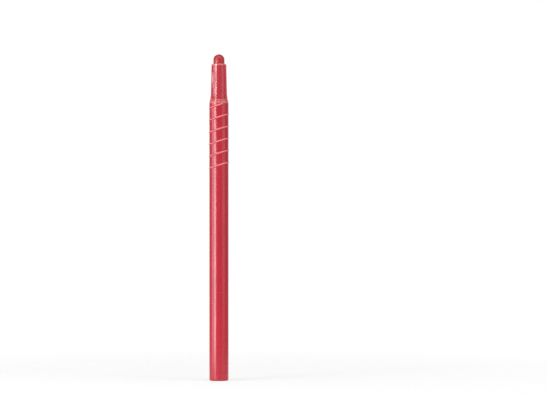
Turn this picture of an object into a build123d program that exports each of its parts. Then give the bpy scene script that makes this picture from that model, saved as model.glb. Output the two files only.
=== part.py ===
"""Twist crayon: turning the clear nose screws a stick of wax out of a ridged barrel.

The barrel has a helical drive groove in its bore. The nose is keyed to a slotted sleeve, which
turns inside the barrel. A carrier holds the wax and has two lugs that pass through the sleeve's
slots into the groove, so each turn of the nose moves the wax by one pitch.

Millimetres. Origin at the centre of the rear face, +Z along the axis towards the writing tip.
"""

import os
from math import ceil

from build123d import *

# Gaps between pieces
RUN_GAP = 0.10  # radial, where one piece turns or slides in another
END_GAP = 0.15  # axial, where one piece turns or slides against another
FIT_GAP = 0.02  # between pieces that are pressed together
LUG_GAP = 0.15  # between a lug and its groove or slot
WAX_GAP = 0.15  # radial, between the wax and the bores that guide it

# Wax stick
WAX_D = 6.0
TIP_OUT = 5.2  # wax that shows past the nose
TIP_HIDE = 0.8  # how deep the tip sinks below the nose's rim when it is wound back

# Carrier
CUP_DEPTH = 6.0
CUP_WALL = 0.8
CUP_FLOOR = 4.0
LUG_LIFT = 1.2  # lower lug's centre above the carrier's rear face
LUG_BLUNT = 0.12  # height cut from the point of each lug's cone

# Slotted sleeve
SLEEVE_SPACE = 0.5  # radial room between the wax and the slotted part of the sleeve
SLEEVE_WALL = 0.65
COLLAR_STEP = 0.1  # how far the front collar stands out from the sleeve
COLLAR_LEN = 1.2
NECK_WALL = 0.6
KEY_WIDTH = 1.2  # the two keys that lock the nose to the sleeve
KEY_LEN = 2.5

# Barrel
BARREL_LEN = 148.5
BARREL_WALL = 0.85
MOUTH_WALL = 0.85
MOUTH_LAND = 1.0  # length of the narrow bore that the neck turns in
SHOULDER_LEN = 1.2
SHOULDER_RISE = 0.2  # radial growth of the tapered shoulder
BAND_LEN = 1.2  # tapered band between the shoulder and the full barrel
BAND_DROP = 0.2  # radial drop from the barrel to the front of the band
MOUTH_EDGE = 0.15

# Helix: one right-hand start, a V groove inside and a slim ridge outside that backs it
PITCH = 6.5
GROOVE_WIDTH = 1.6
GROOVE_DEPTH = 0.6
RIDGE_WIDTH = 1.1
RIDGE_HEIGHT = 0.28
REAR_BAND = 107.5  # plain barrel behind the ridge
FRONT_BAND = 0.6  # from the middle of the ridge's front end to the barrel's step

# Nose
NOSE_LEN = 18.5
NOSE_FOOT_LEN = 1.5  # flared foot that meets the barrel
NOSE_FOOT_RISE = 0.25  # radial growth of that foot
NOSE_TIP_WALL = 0.85
NOSE_BASE_WALL = 0.63
NOSE_EDGE = 0.25
GUIDE_LEN = 4.5  # bore at the rim that guides the wax
SOCKET_LEN = 5.5
FLAT_LEN = 9.0  # the two shallow finger flats
FLAT_DEPTH = 0.25
FLAT_FROM_RIM = 4.2
FLAT_ANGLE = 228.0  # where the first flat sits, counted from +X

# End plug
PLUG_HEAD_LEN = 4.0
PLUG_EDGE = 0.8
PLUG_SPIGOT_LEN = 6.0
PLUG_LEAD = 0.3  # chamfer that starts the plug into the barrel
PILOT_LEN = 5.0
PLUG_WALL = 1.0
PLUG_FLOOR = 1.6

QUARTER_TURN = 90.0
HALF_TURN = 180.0
FULL_TURN = 360.0

# Radii, from the wax outwards
wax_r = WAX_D / 2
guide_r = wax_r + WAX_GAP
sleeve_in_r = wax_r + SLEEVE_SPACE
sleeve_r = sleeve_in_r + SLEEVE_WALL
collar_r = sleeve_r + COLLAR_STEP
bore_r = collar_r + RUN_GAP
barrel_r = bore_r + BARREL_WALL
band_r = barrel_r - BAND_DROP
neck_r = guide_r + NECK_WALL
mouth_in_r = neck_r + RUN_GAP
mouth_r = mouth_in_r + MOUTH_WALL
shoulder_r = mouth_r + SHOULDER_RISE
socket_r = neck_r + FIT_GAP
nose_base_r = socket_r + NOSE_BASE_WALL
nose_foot_r = nose_base_r + NOSE_FOOT_RISE
nose_tip_r = guide_r + NOSE_TIP_WALL
flat_r = (nose_base_r + nose_tip_r) / 2 - FLAT_DEPTH
carrier_r = sleeve_in_r - RUN_GAP
cup_r = carrier_r - CUP_WALL
lug_root_r = cup_r + CUP_WALL / 2
lug_tip_r = bore_r + GROOVE_DEPTH - LUG_GAP - LUG_BLUNT
spigot_r = bore_r - FIT_GAP
pilot_r = sleeve_in_r - RUN_GAP

# Heights, from the rear face up
barrel_rear_z = PLUG_HEAD_LEN
spigot_top_z = barrel_rear_z + PLUG_SPIGOT_LEN
pilot_top_z = spigot_top_z + PILOT_LEN
mouth_z = barrel_rear_z + BARREL_LEN
inner_shoulder_z = mouth_z - MOUTH_LAND
band_top_z = mouth_z - SHOULDER_LEN
barrel_step_z = band_top_z - BAND_LEN
collar_top_z = inner_shoulder_z - END_GAP
collar_rear_z = collar_top_z - COLLAR_LEN
sleeve_rear_z = spigot_top_z + END_GAP
nose_base_z = mouth_z + END_GAP
nose_foot_z = nose_base_z + NOSE_FOOT_LEN
socket_end_z = nose_base_z + SOCKET_LEN
neck_top_z = socket_end_z - FIT_GAP
nose_rim_z = nose_base_z + NOSE_LEN
flat_z = nose_rim_z - FLAT_FROM_RIM - FLAT_LEN / 2
guide_z = nose_rim_z - GUIDE_LEN
tip_z = nose_rim_z + TIP_OUT

# Feed: the carrier as the crayon stands, and its travel each way
wind_back = TIP_OUT + TIP_HIDE
carrier_z = pilot_top_z + END_GAP + wind_back
cup_floor_z = carrier_z + CUP_FLOOR
carrier_top_z = cup_floor_z + CUP_DEPTH
wind_out = collar_rear_z - END_GAP - carrier_top_z

# Helix: both coils start at +X and follow one line, and the groove runs out of the rear
ridge_top_z = barrel_step_z - FRONT_BAND
ridge_z = barrel_rear_z + REAR_BAND
groove_z = ridge_z - ceil(REAR_BAND / PITCH) * PITCH
flank = GROOVE_WIDTH / 2 / GROOVE_DEPTH
lug_r = flank * (GROOVE_DEPTH - LUG_GAP)
slot_width = 2 * (lug_r + LUG_GAP)
lower_lug_z = carrier_z + LUG_LIFT
upper_lug_z = lower_lug_z + PITCH / 2
slot_top_z = upper_lug_z + wind_out + lug_r + LUG_GAP
lug_angle = FULL_TURN * (lower_lug_z - ridge_z) / PITCH % FULL_TURN
lug_angles = (lug_angle, lug_angle + HALF_TURN)


def facing_out(angle, radius, height):
    """Plane that looks outwards at an angle from +X, with its own Y along the axis."""
    outward = Vector(1, 0, 0).rotate(Axis.Z, angle)
    sideways = Vector(0, 1, 0).rotate(Axis.Z, angle)
    return Plane(outward * radius + Vector(0, 0, height), x_dir=sideways, z_dir=outward)


def coil(radius, start_z, end_z):
    """Right-hand helix from one height up to another."""
    return Helix(PITCH, end_z - start_z, radius, center=(0, 0, start_z))


def across(path):
    """Plane square to the start of a coil, with its own X pointing outwards."""
    return Plane(path.line @ 0, x_dir=(1, 0, 0), z_dir=path.line % 0)


def vee(depth, width):
    """Corners of a V that is as wide as given at the surface it starts from."""
    return (-depth, -width), (depth, 0), (-depth, width)


# Barrel: tube with a stepped shoulder and a narrow mouth, the ridge outside and the drive groove inside
with BuildPart() as barrel:
    with BuildSketch(Plane.YZ):
        with BuildLine():
            Polyline(
                (bore_r, barrel_rear_z),
                (barrel_r, barrel_rear_z),
                (barrel_r, barrel_step_z),
                (band_r, band_top_z),
                (shoulder_r, band_top_z),
                (mouth_r, mouth_z - MOUTH_EDGE),
                (mouth_r - MOUTH_EDGE, mouth_z),
                (mouth_in_r, mouth_z),
                (mouth_in_r, inner_shoulder_z),
                (bore_r, inner_shoulder_z),
                close=True,
            )
        make_face()
    revolve(axis=Axis.Z)
    with BuildLine() as ridge_path:
        coil(barrel_r, ridge_z, ridge_top_z)
    with BuildSketch(across(ridge_path)):
        Polygon(*vee(RIDGE_HEIGHT, RIDGE_WIDTH), align=None)
    sweep(is_frenet=True)
    with BuildLine() as groove_path:
        coil(bore_r, groove_z, slot_top_z)
    with BuildSketch(across(groove_path)):
        Polygon(*vee(GROOVE_DEPTH, GROOVE_WIDTH), align=None)
    sweep(is_frenet=True, mode=Mode.SUBTRACT)

# End plug: bevelled head, press spigot and a hollow pilot that centres the sleeve
with BuildPart() as end_plug:
    with BuildSketch(Plane.XZ):
        with BuildLine():
            Polyline(
                (0, 0),
                (barrel_r - PLUG_EDGE, 0),
                (barrel_r, PLUG_EDGE),
                (barrel_r, barrel_rear_z),
                (spigot_r, barrel_rear_z),
                (spigot_r, spigot_top_z - PLUG_LEAD),
                (spigot_r - PLUG_LEAD, spigot_top_z),
                (pilot_r, spigot_top_z),
                (pilot_r, pilot_top_z),
                (pilot_r - PLUG_WALL, pilot_top_z),
                (pilot_r - PLUG_WALL, PLUG_FLOOR),
                (0, PLUG_FLOOR),
                close=True,
            )
        make_face()
    revolve(axis=Axis.Z)

# Sleeve: slotted tube with a collar behind the barrel's mouth and a keyed neck for the nose
with BuildPart() as drive_sleeve:
    with BuildSketch(Plane.XZ):
        with BuildLine():
            Polyline(
                (sleeve_in_r, sleeve_rear_z),
                (sleeve_r, sleeve_rear_z),
                (sleeve_r, collar_rear_z),
                (collar_r, collar_rear_z),
                (collar_r, collar_top_z),
                (neck_r, collar_top_z),
                (neck_r, neck_top_z),
                (guide_r, neck_top_z),
                (guide_r, collar_rear_z),
                (sleeve_in_r, collar_rear_z),
                close=True,
            )
        make_face()
    revolve(axis=Axis.Z)
    for angle in lug_angles:
        with BuildSketch(facing_out(angle, wax_r, slot_top_z)):
            SlotOverall(
                slot_top_z - sleeve_rear_z + slot_width,
                slot_width,
                rotation=QUARTER_TURN,
                align=(Align.MAX, Align.CENTER),
            )
        extrude(amount=collar_r, mode=Mode.SUBTRACT)
        with BuildSketch(facing_out(angle, wax_r, neck_top_z)):
            Rectangle(KEY_WIDTH + 2 * FIT_GAP, 2 * KEY_LEN)
        extrude(amount=collar_r, mode=Mode.SUBTRACT)

# Nose: tapered shell with a flared foot, a guide bore, a keyed socket and two finger flats
with BuildPart() as nose_cone:
    with BuildSketch(Plane.XZ):
        with BuildLine():
            Polyline(
                (socket_r, nose_base_z),
                (nose_foot_r, nose_base_z),
                (nose_base_r, nose_foot_z),
                (nose_tip_r, nose_rim_z),
                (guide_r, nose_rim_z),
                (guide_r, guide_z),
                (sleeve_in_r, guide_z - (sleeve_in_r - guide_r)),
                (sleeve_in_r, socket_end_z),
                (socket_r, socket_end_z),
                close=True,
            )
        make_face()
    revolve(axis=Axis.Z)
    rim = nose_cone.faces().sort_by(Axis.Z)[-1]
    chamfer(rim.edges().sort_by(SortBy.LENGTH)[-1], NOSE_EDGE)
    for angle in lug_angles:
        with BuildSketch(facing_out(angle, guide_r, socket_end_z - KEY_LEN / 2)):
            Rectangle(KEY_WIDTH, KEY_LEN)
        extrude(amount=socket_r - guide_r + NOSE_BASE_WALL / 2)
    for angle in (FLAT_ANGLE, FLAT_ANGLE + HALF_TURN):
        with BuildSketch(facing_out(angle, flat_r, flat_z)):
            Rectangle(2 * nose_base_r, FLAT_LEN)
        extrude(amount=nose_base_r, mode=Mode.SUBTRACT)

# Carrier: cup for the wax, with two lugs half a pitch apart on opposite sides
with BuildPart() as carrier:
    with BuildSketch(Plane.XY.offset(carrier_z)):
        Circle(carrier_r)
    extrude(amount=CUP_FLOOR + CUP_DEPTH)
    with BuildSketch(Plane.XY.offset(cup_floor_z)):
        Circle(cup_r)
    extrude(amount=CUP_DEPTH, mode=Mode.SUBTRACT)
    for angle, height in zip(lug_angles, (lower_lug_z, upper_lug_z)):
        with BuildSketch(facing_out(angle, lug_root_r, height)):
            Circle(lug_r)
        extrude(amount=bore_r - lug_root_r)
        with BuildSketch(facing_out(angle, bore_r, height)):
            Circle(lug_r)
        with BuildSketch(facing_out(angle, lug_tip_r, height)):
            Circle(flank * LUG_BLUNT)
        loft()

# Wax: stick with a round tip, stepped down to sit in the carrier's cup
with BuildPart() as wax_core:
    with BuildSketch(Plane.XZ):
        with BuildLine():
            Polyline(
                (0, tip_z),
                (0, cup_floor_z),
                (cup_r - FIT_GAP, cup_floor_z),
                (cup_r - FIT_GAP, carrier_top_z),
                (wax_r, carrier_top_z),
                (wax_r, tip_z - wax_r),
            )
            RadiusArc((wax_r, tip_z - wax_r), (0, tip_z), -wax_r)
        make_face()
    revolve(axis=Axis.Z)

os.makedirs("parts", exist_ok=True)
pieces = {
    "barrel": barrel,
    "end_plug": end_plug,
    "drive_sleeve": drive_sleeve,
    "nose_cone": nose_cone,
    "carrier": carrier,
    "wax_core": wax_core,
}
for name, piece in pieces.items():
    piece.part.label = name
    export_step(piece.part, f"parts/{name}.step")

print(f"length {tip_z:.2f}, barrel radius {barrel_r:.2f}, ridge radius {barrel_r + RIDGE_HEIGHT:.2f}")
print(f"wax travel from -{wind_back:.2f} to {wind_out:.2f}, one turn of the nose {PITCH:.2f}")
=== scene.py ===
"""Looks of the twist crayon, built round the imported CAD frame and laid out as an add-on."""

from math import atan2, cos, pi, radians, sin, tau

import bmesh
import bpy
from bpy.props import FloatProperty, FloatVectorProperty, IntProperty, PointerProperty
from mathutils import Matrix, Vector


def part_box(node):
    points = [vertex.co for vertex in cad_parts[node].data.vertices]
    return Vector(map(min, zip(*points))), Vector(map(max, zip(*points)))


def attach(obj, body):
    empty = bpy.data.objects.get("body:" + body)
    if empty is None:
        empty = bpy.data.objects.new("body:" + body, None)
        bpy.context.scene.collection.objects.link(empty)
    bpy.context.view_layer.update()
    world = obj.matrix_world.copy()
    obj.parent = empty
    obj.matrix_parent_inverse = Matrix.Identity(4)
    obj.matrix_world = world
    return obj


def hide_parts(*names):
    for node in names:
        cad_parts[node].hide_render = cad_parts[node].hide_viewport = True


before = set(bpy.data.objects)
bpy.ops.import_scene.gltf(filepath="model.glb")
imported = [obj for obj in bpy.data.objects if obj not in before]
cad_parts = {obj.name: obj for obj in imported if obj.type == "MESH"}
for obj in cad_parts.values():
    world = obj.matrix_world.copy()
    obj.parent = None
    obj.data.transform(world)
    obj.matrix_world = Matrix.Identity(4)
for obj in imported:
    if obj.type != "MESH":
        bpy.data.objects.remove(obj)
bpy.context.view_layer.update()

bl_info = {
    "name": "Twist Crayon",
    "version": (1, 0, 0),
    "blender": (4, 5, 0),
    "location": "View3D > Sidebar > Crayon",
    "description": "Models and finishes a twist crayon round its CAD frame",
    "category": "Object",
}

MM = 0.001
MERGE = 0.002 * MM  # corners closer than this are one
ON_PLANE = MERGE / 4  # corners closer than this to a cut lie on it
LONG_WALL = 1.0 * MM  # walls longer than this are held near their ends
HOLD = 0.05 * MM  # how near
SHARP_ANGLE = radians(30)
FACING = 0.5  # a face looks along a direction if its normal points this far along it
CREST_SHARE = 0.2  # width of the ridge's crest as a share of its foot
PEEL_DEPTH = 0.02 * MM  # relief of the plastic's skin
PIT_DEPTH = 0.03 * MM  # relief of the wax
UP = Vector((0, 0, 1))
CENTRE = Vector((0, 0, 0))

BARREL_LOW, BARREL_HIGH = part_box("barrel")
_, PLUG_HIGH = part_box("end_plug")
NOSE_LOW, NOSE_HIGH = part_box("nose_cone")
WAX_LOW, WAX_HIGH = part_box("wax_core")

# Where the plastic is painted paler to stand for highlights, as (from, to)
PALE_SOFT = 0.15 * MM  # soft edge of a pale ring
PAINTED_CREST_HIGHLIGHT = (0.03 * MM, 0.20 * MM)  # above the barrel's radius
# Band and shoulder rings are painted highlights; the untinted gap between them at the step is a
# darker line of painted shade
PAINTED_BAND_HIGHLIGHT = (2.65 * MM, 1.30 * MM)  # behind the barrel's mouth
PAINTED_SHOULDER_HIGHLIGHT = (0.90 * MM, 0.40 * MM)  # behind the barrel's mouth
PAINTED_RIM_HIGHLIGHT = (0.95 * MM, 0.45 * MM)  # behind the nose's rim

# Floor, backdrop and lamps, in metres; angles count from the viewer's side
FLOOR_RADIUS = 0.5
FLOOR_DROP = 0.05 * MM
FLOOR_GLOW = 0.6  # share of plain white in the floor's look
FLOOR_FADE = (0.06, 0.30)  # distances between which it fades away
BACKDROP_EDGE = (0.7, 0.95)  # how far a direction points backwards
KEY_ANGLE, STRIP_ANGLE, FILL_ANGLE = radians(-63), radians(-46), radians(60)
PANEL_REACH = 0.75
TOP_WIDTH, TOP_DEPTH = 1.2, 0.35
TOP_REACH, TOP_LEVEL = 0.28, 0.66
SOFT_REACH, SOFT_LEVEL, SOFT_SIZE = 1.0, 0.25, 0.5


def length(label, words, default):
    """Size that a user may change, in metres."""
    return FloatProperty(
        name=label, description=words, default=default, unit="LENGTH", subtype="DISTANCE"
    )


def power(label, words, default):
    """Power of a lamp that a user may change, in watts."""
    return FloatProperty(name=label, description=words, default=default, unit="POWER")


def colour(label, words, default):
    """Linear colour that a user may change."""
    return FloatVectorProperty(
        name=label, description=words, default=default, size=3, min=0, max=1, subtype="COLOR"
    )


class CrayonSizes(bpy.types.PropertyGroup):
    """Sizes of the crayon's visible pieces"""

    segments: IntProperty(
        name="Segments", description="Steps round a full turn", default=128, min=24
    )
    barrel_radius: length("Barrel radius", "Radius of the plain barrel", PLUG_HIGH.x)
    bore_radius: length("Bore radius", "Radius of the barrel's bore", 4.35 * MM)
    band_radius: length("Band radius", "Radius at the front of the tapered band", 5.0 * MM)
    band_length: length("Band length", "Length of that band", 1.2 * MM)
    shoulder_radius: length("Shoulder radius", "Radius at the rear of the shoulder", 4.9 * MM)
    shoulder_length: length("Shoulder length", "Length of the tapered shoulder", 1.2 * MM)
    mouth_radius: length("Mouth radius", "Outer radius of the barrel's mouth", 4.7 * MM)
    mouth_bore: length("Mouth bore", "Radius of the bore that the neck turns in", 3.85 * MM)
    mouth_land: length("Mouth land", "Length of that bore", 1.0 * MM)
    soft_edge: length("Soft edge", "Rounding of moulded edges", 0.09 * MM)
    pitch: length("Pitch", "Rise of the ridge in one turn", 6.5 * MM)
    ridge_start: length("Ridge start", "Height of the ridge's rear end", 111.5 * MM)
    ridge_height: length("Ridge height", "How far it stands proud", BARREL_HIGH.x - PLUG_HIGH.x)
    ridge_width: length("Ridge width", "Width of the ridge at its foot", 1.1 * MM)
    groove_start: length("Groove start", "Height of the drive groove's rear end", 7.5 * MM)
    groove_end: length("Groove end", "Height of its front end", 145.2 * MM)
    groove_width: length("Groove width", "Width of the drive groove at the bore", 1.6 * MM)
    groove_depth: length("Groove depth", "Depth of the drive groove", 0.6 * MM)
    plug_edge: length("Plug edge", "Rounding of the rear end", 0.8 * MM)
    plug_floor: length("Plug floor", "Thickness of the plug's end wall", 1.6 * MM)
    spigot_length: length("Spigot length", "How far the plug is pressed in", 6.0 * MM)
    spigot_gap: length("Spigot gap", "Radial gap round the spigot", 0.02 * MM)
    spigot_lead: length("Spigot lead", "Rounding that starts the plug into the barrel", 0.3 * MM)
    pilot_radius: length("Pilot radius", "Radius of the pilot that centres the sleeve", 3.4 * MM)
    hollow_radius: length("Hollow radius", "Radius of the plug's hollow", 2.4 * MM)
    gate_radius: length("Gate radius", "Radius of the moulding gate's mark", 0.9 * MM)
    gate_depth: length("Gate depth", "Depth of that mark", 0.15 * MM)
    nose_base_radius: length("Nose base radius", "Outer radius above the nose's foot", 4.4 * MM)
    nose_foot_length: length("Nose foot length", "Length of the flared foot", 1.5 * MM)
    nose_tip_radius: length("Nose tip radius", "Outer radius at the nose's rim", 4.0 * MM)
    nose_edge: length("Nose edge", "Rounding of the nose's rim", 0.42 * MM)
    guide_radius: length("Guide radius", "Radius of the bore at the nose's rim", 3.15 * MM)
    guide_length: length("Guide length", "Length of that bore", 4.5 * MM)
    nose_draft: length("Nose draft", "Length of the taper behind it", 5.0 * MM)
    chamber_radius: length("Chamber radius", "Radius of the hollow behind that taper", 3.5 * MM)
    socket_radius: length("Socket radius", "Radius of the nose's socket", 3.77 * MM)
    socket_length: length("Socket length", "Length of the nose's socket", 5.5 * MM)
    flat_length: length("Flat length", "Length of the nose's finger flats", 9.0 * MM)
    flat_width: length("Flat width", "Width of the finger flats", 2.5 * MM)
    flat_depth: length("Flat depth", "Depth of the finger flats", 0.25 * MM)
    flat_drop: length("Flat drop", "From the rim to the front end of the flats", 4.2 * MM)
    flat_corner: length("Flat corner", "Clipped corners of the finger flats", 0.6 * MM)
    flat_wall: length("Flat wall", "Width of their sloped walls", 0.2 * MM)
    flat_angle: FloatProperty(
        name="Flat angle",
        description="Where the first flat sits, from +X",
        default=radians(228),
        subtype="ANGLE",
    )
    stub_radius: length("Stub radius", "Radius of the wax in its cup", 2.58 * MM)
    stub_length: length("Stub length", "Length of the wax in its cup", 6.0 * MM)


class CrayonColours(bpy.types.PropertyGroup):
    """Colours of the crayon's finishes"""

    barrel: colour("Barrel", "Moulded barrel and end plug", (0.42, 0.016, 0.032))
    barrel_deep: colour("Barrel streaks", "Deeper tone of the barrel", (0.36, 0.011, 0.024))
    # Ridge colour: a painted highlight, which makes the ridge's crest paler so that it reads as a
    # bright line
    ridge: colour("Ridge", "Rubbed crest of the spiral ridge", (0.66, 0.15, 0.17))
    # Rim colour: a painted highlight on the band and shoulder behind the barrel's mouth
    rim: colour("Rim", "Thin, paler rim at the barrel's mouth", (0.50, 0.12, 0.12))
    nose: colour("Nose", "Clear plastic of the nose", (0.80, 0.050, 0.082))
    nose_deep: colour("Nose streaks", "Deeper tone of the nose", (0.74, 0.042, 0.070))
    # Nose rim colour: a painted highlight on the nose's rim
    nose_rim: colour("Nose rim", "Paler rim of the nose", (0.94, 0.36, 0.38))
    inner: colour("Inner pieces", "Sleeve and carrier", (0.52, 0.030, 0.045))
    inner_deep: colour("Inner streaks", "Deeper tone of the inner pieces", (0.44, 0.020, 0.032))
    wax: colour("Wax", "Body of the wax", (0.33, 0.014, 0.018))
    wax_bloom: colour("Wax bloom", "Pale haze on the wax", (0.45, 0.065, 0.066))
    floor: colour("Floor", "Floor under the crayon", (0.90, 0.90, 0.90))


class StageSettings(bpy.types.PropertyGroup):
    """Camera and lamps"""

    camera_distance: length("Camera distance", "From the crayon's axis", 1.4785)
    camera_side: length("Camera side", "Sideways offset of the camera", 29.5 * MM)
    camera_height: length("Camera height", "Height of the camera", 94.9 * MM)
    lens: FloatProperty(name="Lens", description="Focal length in millimetres", default=180.0)
    key_power: power("Key", "Power of the left panel", 3.0)
    strip_power: power("Strip", "Power of the left strip", 3.0)
    fill_power: power("Fill", "Power of the right panel", 1.1)
    top_power: power("Top", "Power of the panel above", 3.0)
    front_power: power("Front", "Power of the soft front", 0.3)
    side_power: power("Side", "Power of the soft right side", 3.5)
    back_power: power("Back", "Power of the soft back", 3.0)
    ambient: FloatProperty(
        name="Ambient", description="Strength of the even light", default=0.30, min=0
    )


def draw_profile(bm, corners, closed=False):
    """Chain of edges through (radius, height) corners on the +X side."""
    verts = [bm.verts.new((radius, 0, height)) for radius, height in corners]
    pairs = list(zip(verts, verts[1:]))
    if closed:
        pairs.append((verts[-1], verts[0]))
    for pair in pairs:
        bm.edges.new(pair)
    return verts


def round_corners(bm, verts, radius, segments=4):
    """Rounds the given corners of a profile."""
    bmesh.ops.bevel(
        bm,
        geom=verts,
        offset=radius,
        offset_type="OFFSET",
        segments=segments,
        profile=0.5,
        affect="VERTICES",
        material=-1,
    )


def hold_walls(bm):
    """Adds a corner near both ends of long walls, so that roundings don't bend their shading."""
    for wall in [e for e in bm.edges if e.calc_length() > LONG_WALL]:
        first, last = wall.verts
        along = (last.co - first.co).normalized() * HOLD
        held = bm.verts.new(first.co + along), bm.verts.new(last.co - along)
        bm.edges.remove(wall)
        for pair in zip((first, *held), (*held, last)):
            bm.edges.new(pair)


def turn_profile(bm, segments):
    """Spins the whole profile a full turn about the axis."""
    hold_walls(bm)
    bmesh.ops.spin(
        bm,
        geom=bm.verts[:] + bm.edges[:],
        cent=CENTRE,
        axis=UP,
        dvec=CENTRE,
        angle=tau,
        steps=segments,
        use_merge=True,
        use_duplicate=False,
    )


def close_up(bm):
    """Merges doubles and turns every face outwards."""
    bmesh.ops.remove_doubles(bm, verts=bm.verts, dist=MERGE)
    bmesh.ops.recalc_face_normals(bm, faces=bm.faces)


def make_piece(bm, name, body, material):
    """Turns a bmesh into a piece that rides on a body and stands for the CAD node of its name."""
    mesh = bpy.data.meshes.new(name)
    bm.to_mesh(mesh)
    bm.free()
    mesh.shade_smooth()
    mesh.set_sharp_from_angle(angle=SHARP_ANGLE)
    mesh.materials.append(material)
    piece = bpy.data.objects.new(name + "_look", mesh)
    bpy.context.scene.collection.objects.link(piece)
    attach(piece, body)
    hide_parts(name)
    return piece


def open_loop(bm, height):
    """Edges of the open border that lies at a height."""
    border = [e for e in bm.edges if e.is_boundary]
    return [e for e in border if all(abs(v.co.z - height) < MERGE for v in e.verts)]


def cut_panel(bm, faces, angle, half_width, low, high, corner):
    """Cuts a panel with clipped corners out of faces that look along an angle."""
    outward = Vector((cos(angle), sin(angle), 0))
    sideways = Vector((-sin(angle), cos(angle), 0))
    middle = UP * (low + high) / 2
    half_length = (high - low) / 2
    reach = half_width + half_length - corner
    sides = [(sideways, half_width), (-sideways, half_width), (UP, half_length), (-UP, half_length)]
    sides += [(across + along, reach) for across in (sideways, -sideways) for along in (UP, -UP)]
    panel = set(faces)
    for normal, distance in sides:
        geom = set(panel)
        for face in panel:
            geom.update(face.edges)
            geom.update(face.verts)
        point = middle + normal * distance / normal.length_squared
        cut = bmesh.ops.bisect_plane(
            bm, geom=list(geom), dist=ON_PLANE, plane_co=point, plane_no=normal
        )
        panel = {
            item
            for item in cut["geom"]
            if isinstance(item, bmesh.types.BMFace)
            and (item.calc_center_median() - point).dot(normal) < 0
            and item.calc_center_median().dot(outward) > 0
        }
    return list(panel)


def add_node(tree, kind, settings=None, **values):
    """New node with its properties set and its named inputs filled."""
    made = tree.nodes.new(kind)
    for key, value in (settings or {}).items():
        setattr(made, key, value)
    for key, value in values.items():
        made.inputs[key.replace("_", " ")].default_value = value
    return made


def stretch(tree, scale):
    """Object coordinates, scaled on each axis."""
    coordinates = add_node(tree, "ShaderNodeTexCoord")
    mapping = add_node(tree, "ShaderNodeMapping", Scale=scale)
    tree.links.new(coordinates.outputs["Object"], mapping.inputs["Vector"])
    return mapping.outputs["Vector"]


def noise(tree, scale, detail, roughness):
    """Noise texture, scaled on each axis."""
    made = add_node(tree, "ShaderNodeTexNoise", Scale=1.0, Detail=detail, Roughness=roughness)
    tree.links.new(stretch(tree, scale), made.inputs["Vector"])
    return made.outputs["Fac"]


def span(tree, value, low, high, to_low, to_high):
    """Maps a value from one range to another, clamped."""
    made = add_node(
        tree, "ShaderNodeMapRange", From_Min=low, From_Max=high, To_Min=to_low, To_Max=to_high
    )
    tree.links.new(value, made.inputs["Value"])
    return made.outputs["Result"]


def sums(tree, operation, first, second):
    """Math on two sockets, or on a socket and a number."""
    made = add_node(tree, "ShaderNodeMath", {"operation": operation})
    for socket, value in zip(made.inputs, (first, second)):
        if isinstance(value, (int, float)):
            socket.default_value = value
        else:
            tree.links.new(value, socket)
    return made.outputs["Value"]


def blend(tree, factor, first, second):
    """Mixes two colours."""
    made = add_node(tree, "ShaderNodeMix", {"data_type": "RGBA"})
    factor_in, first_in, second_in = made.inputs[0], made.inputs[6], made.inputs[7]
    for socket, value in ((factor_in, factor), (first_in, first), (second_in, second)):
        if isinstance(value, bpy.types.NodeSocket):
            tree.links.new(value, socket)
        else:
            socket.default_value = value
    return made.outputs[2]


def new_group(name, inputs, outputs):
    """Empty shader node group with named sockets; inputs hold (name, type, default)."""
    group = bpy.data.node_groups.new(name, "ShaderNodeTree")
    for label, kind, default in inputs:
        group.interface.new_socket(label, in_out="INPUT", socket_type=kind).default_value = default
    for label, kind in outputs:
        group.interface.new_socket(label, in_out="OUTPUT", socket_type=kind)
    return group, group.nodes.new("NodeGroupInput"), group.nodes.new("NodeGroupOutput")


def fine_scuffs():
    """Group: hairline scuffs from handling, as a mask and a height."""
    if "fine_scuffs" in bpy.data.node_groups:
        return bpy.data.node_groups["fine_scuffs"]
    group, given, result = new_group(
        "fine_scuffs",
        [("Amount", "NodeSocketFloat", 1.0)],
        [("Mask", "NodeSocketFloat"), ("Height", "NodeSocketFloat")],
    )
    lengthways = span(group, noise(group, (900, 900, 60), 6, 0.6), 0.60, 0.74, 0, 1)
    around = span(group, noise(group, (160, 160, 1500), 5, 0.6), 0.62, 0.76, 0, 1)
    marks = sums(group, "MAXIMUM", lengthways, around)
    mask = sums(group, "MULTIPLY", marks, given.outputs["Amount"])
    group.links.new(mask, result.inputs["Mask"])
    group.links.new(sums(group, "MULTIPLY", mask, -1.0), result.inputs["Height"])
    return group


def moulded_skin():
    """Group: moulded plastic with flow streaks along the axis, a faint texture and scuffs."""
    if "moulded_skin" in bpy.data.node_groups:
        return bpy.data.node_groups["moulded_skin"]
    group, given, result = new_group(
        "moulded_skin",
        [
            ("Colour", "NodeSocketColor", (1, 1, 1, 1)),
            ("Streaks", "NodeSocketColor", (1, 1, 1, 1)),
            ("Roughness", "NodeSocketFloat", 0.25),
            ("Wear", "NodeSocketFloat", 1.0),
        ],
        [
            ("Colour", "NodeSocketColor"),
            ("Roughness", "NodeSocketFloat"),
            ("Height", "NodeSocketFloat"),
        ],
    )
    flow = span(group, noise(group, (420, 420, 22), 4, 0.55), 0.35, 0.7, 0, 0.6)
    cloud = noise(group, (70, 70, 45), 3, 0.5)
    tone = sums(group, "ADD", flow, span(group, cloud, 0.35, 0.7, 0, 0.4))
    streaked = blend(group, tone, given.outputs["Colour"], given.outputs["Streaks"])
    group.links.new(streaked, result.inputs["Colour"])
    scuffs = add_node(group, "ShaderNodeGroup", {"node_tree": fine_scuffs()})
    group.links.new(given.outputs["Wear"], scuffs.inputs["Amount"])
    worn = sums(group, "MULTIPLY", scuffs.outputs["Mask"], 0.22)
    cloudy = span(group, cloud, 0.3, 0.7, -0.03, 0.05)
    rough = sums(group, "ADD", sums(group, "ADD", given.outputs["Roughness"], worn), cloudy)
    group.links.new(rough, result.inputs["Roughness"])
    scratched = sums(group, "MULTIPLY", scuffs.outputs["Height"], 0.35)
    peel = noise(group, (1100, 1100, 700), 2, 0.5)
    group.links.new(sums(group, "ADD", scratched, peel), result.inputs["Height"])
    return group


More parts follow.
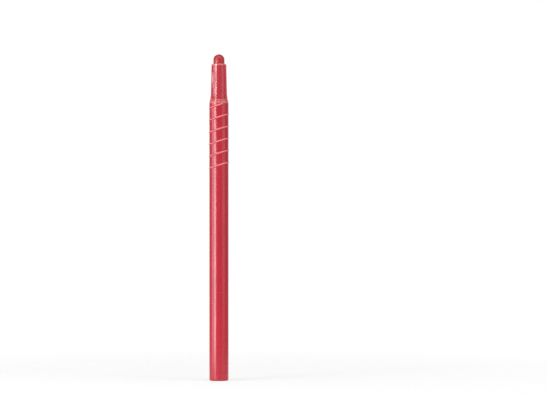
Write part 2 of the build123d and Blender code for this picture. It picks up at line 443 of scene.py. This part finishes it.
def start_material(name):
    """Empty material with an output, and its Principled shader."""
    material = bpy.data.materials.new(name)
    material.use_nodes = True
    tree = material.node_tree
    tree.nodes.clear()
    output = add_node(tree, "ShaderNodeOutputMaterial")
    shader = add_node(tree, "ShaderNodeBsdfPrincipled")
    tree.links.new(shader.outputs["BSDF"], output.inputs["Surface"])
    return material, tree, shader


def add_bump(tree, shader, height, strength, distance):
    """Feeds a height to the shader's normal."""
    bump = add_node(tree, "ShaderNodeBump", Strength=strength, Distance=distance)
    tree.links.new(height, bump.inputs["Height"])
    tree.links.new(bump.outputs["Normal"], shader.inputs["Normal"])


def plastic(name, main, deep, roughness, wear, relief):
    """Moulded plastic material."""
    material, tree, shader = start_material(name)
    skin = add_node(
        tree,
        "ShaderNodeGroup",
        {"node_tree": moulded_skin()},
        Colour=(*main, 1),
        Streaks=(*deep, 1),
        Roughness=roughness,
        Wear=wear,
    )
    tree.links.new(skin.outputs["Colour"], shader.inputs["Base Color"])
    tree.links.new(skin.outputs["Roughness"], shader.inputs["Roughness"])
    add_bump(tree, shader, skin.outputs["Height"], relief, PEEL_DEPTH)
    shader.inputs["IOR"].default_value = 1.53
    return material


def principled(material):
    """The material's own shader."""
    return next(n for n in material.node_tree.nodes if n.type == "BSDF_PRINCIPLED")


def tint(material, mask, shade):
    """Blends a material's colour towards another one by a mask."""
    socket = principled(material).inputs["Base Color"]
    mixed = blend(material.node_tree, mask, socket.links[0].from_socket, (*shade, 1))
    material.node_tree.links.new(mixed, socket)


def height_mask(tree, low, high):
    """Mask that rises from 0 to 1 between two heights on the axis."""
    apart = add_node(tree, "ShaderNodeSeparateXYZ")
    tree.links.new(stretch(tree, (1, 1, 1)), apart.inputs["Vector"])
    return span(tree, apart.outputs["Z"], low, high, 0, 1)


def ring_mask(tree, low, high):
    """Mask of a soft-edged ring between two heights on the axis."""
    rising = height_mask(tree, low - PALE_SOFT, low + PALE_SOFT)
    falling = height_mask(tree, high - PALE_SOFT, high + PALE_SOFT)
    return sums(tree, "SUBTRACT", rising, falling)


def radius_mask(tree, low, high):
    """Mask that rises from 0 to 1 between two distances from the axis."""
    reach = add_node(tree, "ShaderNodeVectorMath", {"operation": "LENGTH"})
    tree.links.new(stretch(tree, (1, 1, 0)), reach.inputs[0])
    return span(tree, reach.outputs["Value"], low, high, 0, 1)


def barrel_plastic(scene):
    """Glossy red moulding of barrel and plug, with painted highlights on the ridge's crest and on
    the band and shoulder behind the mouth.
    """
    if "glossy_barrel" in bpy.data.materials:
        return bpy.data.materials["glossy_barrel"]
    colours, radius = scene.crayon_colours, scene.crayon_sizes.barrel_radius
    material = plastic("glossy_barrel", colours.barrel, colours.barrel_deep, 0.20, 1.0, 0.35)
    tree = material.node_tree
    # Painted highlight: the ridge's crest is tinted paler by its distance from the axis
    tint(material, radius_mask(tree, *(radius + rise for rise in PAINTED_CREST_HIGHLIGHT)), colours.ridge)
    # Painted highlight on the band and the shoulder; the gap left untinted between them at the step
    # is painted shade in that crease
    band = ring_mask(tree, *(BARREL_HIGH.z - behind for behind in PAINTED_BAND_HIGHLIGHT))
    shoulder = ring_mask(tree, *(BARREL_HIGH.z - behind for behind in PAINTED_SHOULDER_HIGHLIGHT))
    tint(material, sums(tree, "MAXIMUM", band, shoulder), colours.rim)
    return material


def clear_plastic(scene):
    """Clear red moulding of the nose, a little hazy, with a painted highlight on its rim."""
    colours = scene.crayon_colours
    material = plastic("clear_nose", colours.nose, colours.nose_deep, 0.18, 0.3, 0.03)
    # Painted highlight: the nose is tinted paler towards its rim
    rim = height_mask(material.node_tree, *(NOSE_HIGH.z - behind for behind in PAINTED_RIM_HIGHLIGHT))
    tint(material, rim, colours.nose_rim)
    shader = principled(material)
    shader.inputs["Transmission Weight"].default_value = 0.60
    shader.inputs["Specular IOR Level"].default_value = 0.9
    return material


def inner_plastic(scene):
    """Red moulding of the pieces inside."""
    colours = scene.crayon_colours
    return plastic("inner_moulding", colours.inner, colours.inner_deep, 0.42, 0.5, 0.3)


def wax_finish(scene):
    """Soft wax with pale bloom, rub marks and fine pits."""
    colours = scene.crayon_colours
    material, tree, shader = start_material("soft_wax")
    patches = span(tree, noise(tree, (260, 260, 190), 5, 0.6), 0.42, 0.72, 0, 0.7)
    rubbed = span(tree, noise(tree, (700, 700, 90), 4, 0.6), 0.5, 0.75, 0, 0.5)
    bloom = sums(tree, "MAXIMUM", patches, rubbed)
    hazed = blend(tree, bloom, (*colours.wax, 1), (*colours.wax_bloom, 1))
    tree.links.new(hazed, shader.inputs["Base Color"])
    tree.links.new(span(tree, bloom, 0, 1, 0.26, 0.42), shader.inputs["Roughness"])
    scuffs = add_node(tree, "ShaderNodeGroup", {"node_tree": fine_scuffs()}, Amount=0.8)
    pits = noise(tree, (1500, 1500, 1500), 4, 0.6)
    add_bump(tree, shader, sums(tree, "ADD", scuffs.outputs["Height"], pits), 0.5, PIT_DEPTH)
    shader.inputs["IOR"].default_value = 1.44
    shader.inputs["Subsurface Weight"].default_value = 0.12
    shader.inputs["Subsurface Radius"].default_value = (1.0, 0.3, 0.25)
    shader.inputs["Subsurface Scale"].default_value = 1.2 * MM
    return material


def wind_wall(sizes, segments, radius, start, outline, rounding, low, high):
    """Round wall, wound up past two heights, with a spiral of (reach, height) corners."""
    bm = bmesh.new()
    half = sizes.pitch / 2
    first = start - sizes.pitch
    while first - half + sizes.pitch > low:
        first -= sizes.pitch
    turns = int((high - first + half) / sizes.pitch) + 1
    corners = [(0, -half), *outline, (0, half)]
    verts = draw_profile(bm, [(radius + reach, first + height) for reach, height in corners])
    if rounding:
        round_corners(bm, verts[1:-1], rounding, 3)
    bmesh.ops.spin(
        bm,
        geom=bm.verts[:] + bm.edges[:],
        cent=CENTRE,
        axis=UP,
        dvec=UP * sizes.pitch / segments,
        angle=tau * turns,
        steps=segments * turns,
        use_merge=False,
        use_duplicate=False,
    )
    bmesh.ops.remove_doubles(bm, verts=bm.verts, dist=MERGE)
    return bm


def fade_spiral(bm, pitch, radius, start, end, lead_in, lead_out):
    """Lets a spiral rise out of its wall and run out at its end, over parts of a turn."""
    for vert in bm.verts:
        turn = atan2(vert.co.y, vert.co.x) / tau % 1
        along = round((vert.co.z - start) / pitch - turn) + turn
        rise = max(min(along / lead_in, ((end - start) / pitch - along) / lead_out, 1), 0)
        flat = Vector((vert.co.x, vert.co.y, 0))
        proud = (flat.length - radius) * (1 - rise * rise * (3 - 2 * rise))
        vert.co -= flat.normalized() * max(proud, 0)


def straighten_ridge(bm, pitch):
    """Lets the ridge cross the front and the back as straight lines, as a split mould leaves it."""
    for vert in bm.verts:
        swing = (atan2(vert.co.x, -vert.co.y) + pi / 2) % pi - pi / 2
        vert.co.z += pitch * (sin(swing) / 4 - swing / tau)


def trim(bm, low, high):
    """Cuts off what lies below one height or above another."""
    for height, side in ((low, -UP), (high, UP)):
        geom = bm.verts[:] + bm.edges[:] + bm.faces[:]
        bmesh.ops.bisect_plane(
            bm, geom=geom, dist=ON_PLANE, plane_co=UP * height, plane_no=side, clear_outer=True
        )


def ridged_skin(sizes, low, high):
    """Outside of the barrel with its raised ridge."""
    radius, start = sizes.barrel_radius, sizes.ridge_start
    foot, tall = sizes.ridge_width / 2, sizes.ridge_height
    crest = foot * CREST_SHARE
    outline = [(0, -foot), (tall, -crest), (tall, crest), (0, foot)]
    lead_in, lead_out = 0.25, 0.04
    bm = wind_wall(sizes, sizes.segments, radius, start, outline, crest, low, high)
    fade_spiral(bm, sizes.pitch, radius, start, high - foot, lead_in, lead_out)
    straighten_ridge(bm, sizes.pitch)
    trim(bm, low, high)
    return bm


def grooved_bore(sizes, low, high):
    """Inside of the barrel with the groove that drives the carrier."""
    radius, start = sizes.bore_radius, sizes.groove_start
    foot = sizes.groove_width / 2
    outline = [(0, -foot), (sizes.groove_depth, 0), (0, foot)]
    lead_in, lead_out = 0.25, 0.085
    bm = wind_wall(sizes, sizes.segments // 2, radius, start, outline, 0, low, high)
    fade_spiral(bm, sizes.pitch, radius, start, sizes.groove_end, lead_in, lead_out)
    trim(bm, low, high)
    return bm


def absorb(bm, other):
    """Moves another bmesh into this one."""
    scratch = bpy.data.meshes.new("scratch")
    other.to_mesh(scratch)
    other.free()
    bm.from_mesh(scratch)
    bpy.data.meshes.remove(scratch)


class CRAYON_OT_barrel(bpy.types.Operator):
    """Model the barrel with its spiral ridge, stepped shoulder and grooved bore"""

    bl_idname = "crayon.barrel"
    bl_label = "Barrel"

    def execute(self, context):
        sizes = context.scene.crayon_sizes
        rear, mouth = BARREL_LOW.z, BARREL_HIGH.z
        band_top = mouth - sizes.shoulder_length
        step = band_top - sizes.band_length
        skin_low = sizes.ridge_start - sizes.pitch / 2
        skin_high = step - 1.5 * sizes.soft_edge
        bore_low = sizes.groove_start - sizes.pitch / 2
        bore_high = sizes.groove_end + sizes.groove_width
        seam = sizes.soft_edge / 3
        bm = bmesh.new()
        front = draw_profile(
            bm,
            [
                (sizes.barrel_radius, skin_high + seam),
                (sizes.barrel_radius, step),
                (sizes.band_radius, band_top),
                (sizes.shoulder_radius, band_top),
                (sizes.mouth_radius, mouth),
                (sizes.mouth_bore, mouth),
                (sizes.mouth_bore, mouth - sizes.mouth_land),
                (sizes.bore_radius, mouth - sizes.mouth_land),
                (sizes.bore_radius, bore_high + seam),
            ],
        )
        tail = draw_profile(
            bm,
            [
                (sizes.bore_radius, bore_low - seam),
                (sizes.bore_radius, rear),
                (sizes.barrel_radius, rear),
                (sizes.barrel_radius, skin_low - seam),
            ],
        )
        outer_edges = [front[1], front[4], tail[2]]
        fine_edges = [front[2], front[3], front[5]]
        round_corners(bm, outer_edges, sizes.soft_edge)
        round_corners(bm, fine_edges, sizes.soft_edge / 3, 2)
        turn_profile(bm, sizes.segments)
        absorb(bm, ridged_skin(sizes, skin_low, skin_high))
        absorb(bm, grooved_bore(sizes, bore_low, bore_high))
        for low, high in ((skin_low, skin_high), (bore_low, bore_high)):
            bmesh.ops.bridge_loops(bm, edges=open_loop(bm, low) + open_loop(bm, low - seam))
            bmesh.ops.bridge_loops(bm, edges=open_loop(bm, high) + open_loop(bm, high + seam))
        close_up(bm)
        make_piece(bm, "barrel", "barrel", barrel_plastic(context.scene))
        return {"FINISHED"}


class CRAYON_OT_end_plug(bpy.types.Operator):
    """Model the plug that closes the rear of the barrel"""

    bl_idname = "crayon.end_plug"
    bl_label = "End plug"

    def execute(self, context):
        sizes = context.scene.crayon_sizes
        head, pilot = BARREL_LOW.z, PLUG_HIGH.z
        spigot = head + sizes.spigot_length
        spigot_radius = sizes.bore_radius - sizes.spigot_gap
        bm = bmesh.new()
        verts = draw_profile(
            bm,
            [
                (0, sizes.gate_depth),
                (sizes.gate_radius, sizes.gate_depth),
                (sizes.gate_radius, 0),
                (sizes.barrel_radius, 0),
                (sizes.barrel_radius, head),
                (spigot_radius, head),
                (spigot_radius, spigot),
                (sizes.pilot_radius, spigot),
                (sizes.pilot_radius, pilot),
                (sizes.hollow_radius, pilot),
                (sizes.hollow_radius, sizes.plug_floor),
                (0, sizes.plug_floor),
            ],
        )
        round_corners(bm, [verts[3]], sizes.plug_edge, 8)
        round_corners(bm, [verts[4]], sizes.soft_edge)
        round_corners(bm, [verts[6]], sizes.spigot_lead)
        round_corners(bm, [verts[1], verts[2]], sizes.soft_edge / 3, 2)
        turn_profile(bm, sizes.segments)
        close_up(bm)
        make_piece(bm, "end_plug", "barrel", barrel_plastic(context.scene))
        return {"FINISHED"}


class CRAYON_OT_nose(bpy.types.Operator):
    """Model the clear nose with its rim, guide bore, socket and finger flats"""

    bl_idname = "crayon.nose"
    bl_label = "Nose"

    def execute(self, context):
        sizes = context.scene.crayon_sizes
        base, rim = NOSE_LOW.z, NOSE_HIGH.z
        foot = base + sizes.nose_foot_length
        guide_end, socket_end = rim - sizes.guide_length, base + sizes.socket_length
        bm = bmesh.new()
        verts = draw_profile(
            bm,
            [
                (sizes.socket_radius, base),
                (NOSE_HIGH.x, base),
                (sizes.nose_base_radius, foot),
                (sizes.nose_tip_radius, rim),
                (sizes.guide_radius, rim),
                (sizes.guide_radius, guide_end),
                (sizes.chamber_radius, guide_end - sizes.nose_draft),
                (sizes.chamber_radius, socket_end),
                (sizes.socket_radius, socket_end),
            ],
            closed=True,
        )
        round_corners(bm, [verts[3]], sizes.nose_edge, 6)
        round_corners(bm, [verts[4]], sizes.nose_edge / 2)
        round_corners(bm, [verts[2]], sizes.nose_foot_length / 2, 6)
        round_corners(bm, [verts[1]], sizes.soft_edge)
        turn_profile(bm, sizes.segments)
        close_up(bm)
        flat_high = rim - sizes.flat_drop
        flat_low = flat_high - sizes.flat_length
        flat_radius = (sizes.nose_base_radius + sizes.nose_tip_radius) / 2 - sizes.flat_depth
        half_width, corner = sizes.flat_width / 2, sizes.flat_corner
        for angle in (sizes.flat_angle, sizes.flat_angle + pi):
            outward = Vector((cos(angle), sin(angle), 0))
            near = [f for f in bm.faces if f.calc_center_median().dot(outward) > 0]
            facing = [f for f in near if f.normal.dot(outward) > FACING]
            panel = cut_panel(bm, facing, angle, half_width, flat_low, flat_high, corner)
            bmesh.ops.inset_region(
                bm, faces=panel, thickness=sizes.flat_wall, use_even_offset=True
            )
            for vert in {v for f in panel for v in f.verts}:
                vert.co -= outward * max(vert.co.dot(outward) - flat_radius, 0)
        bmesh.ops.recalc_face_normals(bm, faces=bm.faces)
        make_piece(bm, "nose_cone", "twist_nose", clear_plastic(context.scene))
        return {"FINISHED"}


class CRAYON_OT_wax(bpy.types.Operator):
    """Model the stick of wax with its round tip"""

    bl_idname = "crayon.wax"
    bl_label = "Wax"

    def execute(self, context):
        sizes = context.scene.crayon_sizes
        rear, tip, radius = WAX_LOW.z, WAX_HIGH.z, WAX_HIGH.x
        bm = bmesh.new()
        verts = draw_profile(
            bm,
            [
                (0, rear),
                (sizes.stub_radius, rear),
                (sizes.stub_radius, rear + sizes.stub_length),
                (radius, rear + sizes.stub_length),
                (radius, tip),
                (0, tip),
            ],
        )
        round_corners(bm, [verts[4]], radius, 24)
        turn_profile(bm, sizes.segments)
        close_up(bm)
        make_piece(bm, "wax_core", "feed", wax_finish(context.scene))
        return {"FINISHED"}


class CRAYON_OT_inner_pieces(bpy.types.Operator):
    """Finish the sleeve and the carrier, which keep their CAD shapes"""

    bl_idname = "crayon.inner_pieces"
    bl_label = "Inner pieces"

    def execute(self, context):
        material = inner_plastic(context.scene)
        for name in ("drive_sleeve", "carrier"):
            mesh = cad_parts[name].data
            mesh.materials.clear()
            mesh.materials.append(material)
        return {"FINISHED"}


def shows_background(tree, mirrored=1.0):
    """Mask of the rays that show the background: straight, bent and a share of mirrored ones."""
    path = add_node(tree, "ShaderNodeLightPath")
    straight, bent = path.outputs["Is Camera Ray"], path.outputs["Is Transmission Ray"]
    share = sums(tree, "MULTIPLY", path.outputs["Is Glossy Ray"], mirrored)
    return sums(tree, "MAXIMUM", sums(tree, "MAXIMUM", straight, bent), share)


def backdrop(tree):
    """Mask of the world's white backdrop, which stands behind the crayon."""
    coordinates = add_node(tree, "ShaderNodeTexCoord")
    apart = add_node(tree, "ShaderNodeSeparateXYZ")
    tree.links.new(coordinates.outputs["Generated"], apart.inputs["Vector"])
    return span(tree, apart.outputs["Y"], *BACKDROP_EDGE, 0, 1)


def floor_finish(scene):
    """Pale floor that takes the shadow, fades into the background and is clear from below."""
    material = bpy.data.materials.new("stage_floor")
    material.use_nodes = True
    tree = material.node_tree
    tree.nodes.clear()
    output = add_node(tree, "ShaderNodeOutputMaterial")
    diffuse = add_node(tree, "ShaderNodeBsdfDiffuse", Color=(*scene.crayon_colours.floor, 1))
    glow = add_node(tree, "ShaderNodeEmission", Color=(1, 1, 1, 1))
    lit = add_node(tree, "ShaderNodeMixShader")
    tree.links.new(sums(tree, "MULTIPLY", shows_background(tree), FLOOR_GLOW), lit.inputs[0])
    tree.links.new(diffuse.outputs["BSDF"], lit.inputs[1])
    tree.links.new(glow.outputs["Emission"], lit.inputs[2])
    coordinates = add_node(tree, "ShaderNodeTexCoord")
    distance = add_node(tree, "ShaderNodeVectorMath", {"operation": "LENGTH"})
    tree.links.new(coordinates.outputs["Object"], distance.inputs[0])
    clear = add_node(tree, "ShaderNodeBsdfTransparent")
    shown = add_node(tree, "ShaderNodeMixShader")
    below = add_node(tree, "ShaderNodeNewGeometry").outputs["Backfacing"]
    far = span(tree, distance.outputs["Value"], *FLOOR_FADE, 0, 1)
    faded = sums(tree, "MAXIMUM", far, below)
    tree.links.new(faded, shown.inputs[0])
    tree.links.new(lit.outputs["Shader"], shown.inputs[1])
    tree.links.new(clear.outputs["BSDF"], shown.inputs[2])
    tree.links.new(shown.outputs["Shader"], output.inputs["Surface"])
    return material


def add_lamp(name, watts, width, height, place, target):
    """Soft panel lamp that looks at a point and doesn't show in the picture."""
    lamp = bpy.data.lights.new(name, "AREA")
    lamp.shape = "RECTANGLE"
    lamp.size, lamp.size_y = width, height
    lamp.energy = watts
    made = bpy.data.objects.new(name, lamp)
    made.location = place
    made.rotation_euler = (target - place).to_track_quat("-Z", "Y").to_euler()
    made.visible_camera = False
    made.visible_transmission = False
    bpy.context.scene.collection.objects.link(made)
    return made


def polar(angle, distance, height):
    """Place at an angle from the viewer's side, positive to the right."""
    return Vector((sin(angle) * distance, -cos(angle) * distance, height))


def lay_floor(scene):
    """Round floor under the crayon."""
    bm = bmesh.new()
    bmesh.ops.create_circle(bm, cap_ends=True, segments=64, radius=FLOOR_RADIUS)
    mesh = bpy.data.meshes.new("floor")
    bm.to_mesh(mesh)
    bm.free()
    mesh.materials.append(floor_finish(scene))
    floor = bpy.data.objects.new("floor", mesh)
    floor.location.z = -FLOOR_DROP
    scene.collection.objects.link(floor)


def light_world(scene):
    """White background with an even light that is weaker than it looks."""
    world = bpy.data.worlds.new("studio")
    world.use_nodes = True
    tree = world.node_tree
    tree.nodes.clear()
    output = add_node(tree, "ShaderNodeOutputWorld")
    sky = add_node(tree, "ShaderNodeBackground", Color=(1, 1, 1, 1))
    shown = shows_background(tree, backdrop(tree))
    ambient = scene.crayon_stage.ambient
    tree.links.new(span(tree, shown, 0, 1, ambient, 1), sky.inputs["Strength"])
    tree.links.new(sky.outputs["Background"], output.inputs["Surface"])
    scene.world = world


def hang_lamps(scene):
    """Panels that show as highlights, and soft lamps that only light."""
    stage = scene.crayon_stage
    middle = UP * stage.camera_height
    panels = (
        ("key", stage.key_power, KEY_ANGLE, 0.84, 0.36, 0.125),
        ("strip", stage.strip_power, STRIP_ANGLE, 0.26, 0.56, 0.225),
        ("fill", stage.fill_power, FILL_ANGLE, 0.60, 0.80, 0.35),
    )
    for name, watts, angle, width, height, level in panels:
        add_lamp(name, watts, width, height, polar(angle, PANEL_REACH, level), middle)
    above, ridge = polar(0, TOP_REACH, TOP_LEVEL), UP * scene.crayon_sizes.ridge_start
    add_lamp("top", stage.top_power, TOP_WIDTH, TOP_DEPTH, above, ridge)
    soft_lamps = (
        ("front", stage.front_power, 0),
        ("side", stage.side_power, FILL_ANGLE),
        ("back", stage.back_power, pi),
    )
    for name, watts, angle in soft_lamps:
        place = polar(angle, SOFT_REACH, SOFT_LEVEL)
        soft = add_lamp(name, watts, SOFT_SIZE, SOFT_SIZE, place, middle)
        soft.visible_glossy = False


def place_camera(scene):
    """Level camera on the viewer's side."""
    stage = scene.crayon_stage
    camera = bpy.data.objects.new("camera", bpy.data.cameras.new("camera"))
    camera.data.lens = stage.lens
    camera.data.clip_start, camera.data.clip_end = 0.05, 20
    camera.location = (stage.camera_side, -stage.camera_distance, stage.camera_height)
    camera.rotation_euler = (pi / 2, 0, 0)
    scene.collection.objects.link(camera)
    scene.camera = camera


class CRAYON_OT_stage(bpy.types.Operator):
    """Set up the floor, the background, the lamps and the camera"""

    bl_idname = "crayon.stage"
    bl_label = "Stage"

    def execute(self, context):
        scene = context.scene
        scene.view_settings.view_transform = "Standard"
        lay_floor(scene)
        light_world(scene)
        hang_lamps(scene)
        place_camera(scene)
        return {"FINISHED"}


class VIEW3D_PT_crayon(bpy.types.Panel):
    """Pieces, sizes and colours of the crayon"""

    bl_label = "Twist Crayon"
    bl_space_type = "VIEW_3D"
    bl_region_type = "UI"
    bl_category = "Crayon"

    def draw(self, context):
        layout, scene = self.layout, context.scene
        for operator in OPERATORS:
            layout.operator(operator.bl_idname)
        for group in (scene.crayon_sizes, scene.crayon_colours, scene.crayon_stage):
            box = layout.box()
            for name in group.__annotations__:
                box.prop(group, name)


OPERATORS = (
    CRAYON_OT_barrel,
    CRAYON_OT_end_plug,
    CRAYON_OT_nose,
    CRAYON_OT_wax,
    CRAYON_OT_inner_pieces,
    CRAYON_OT_stage,
)
CLASSES = (CrayonSizes, CrayonColours, StageSettings, *OPERATORS, VIEW3D_PT_crayon)


def register():
    for item in CLASSES:
        bpy.utils.register_class(item)
    bpy.types.Scene.crayon_sizes = PointerProperty(type=CrayonSizes)
    bpy.types.Scene.crayon_colours = PointerProperty(type=CrayonColours)
    bpy.types.Scene.crayon_stage = PointerProperty(type=StageSettings)


def unregister():
    del bpy.types.Scene.crayon_stage
    del bpy.types.Scene.crayon_colours
    del bpy.types.Scene.crayon_sizes
    for item in reversed(CLASSES):
        bpy.utils.unregister_class(item)


def main():
    register()
    bpy.ops.crayon.barrel()
    bpy.ops.crayon.end_plug()
    bpy.ops.crayon.nose()
    bpy.ops.crayon.wax()
    bpy.ops.crayon.inner_pieces()
    bpy.ops.crayon.stage()
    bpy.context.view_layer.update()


if __name__ == "__main__":
    main()
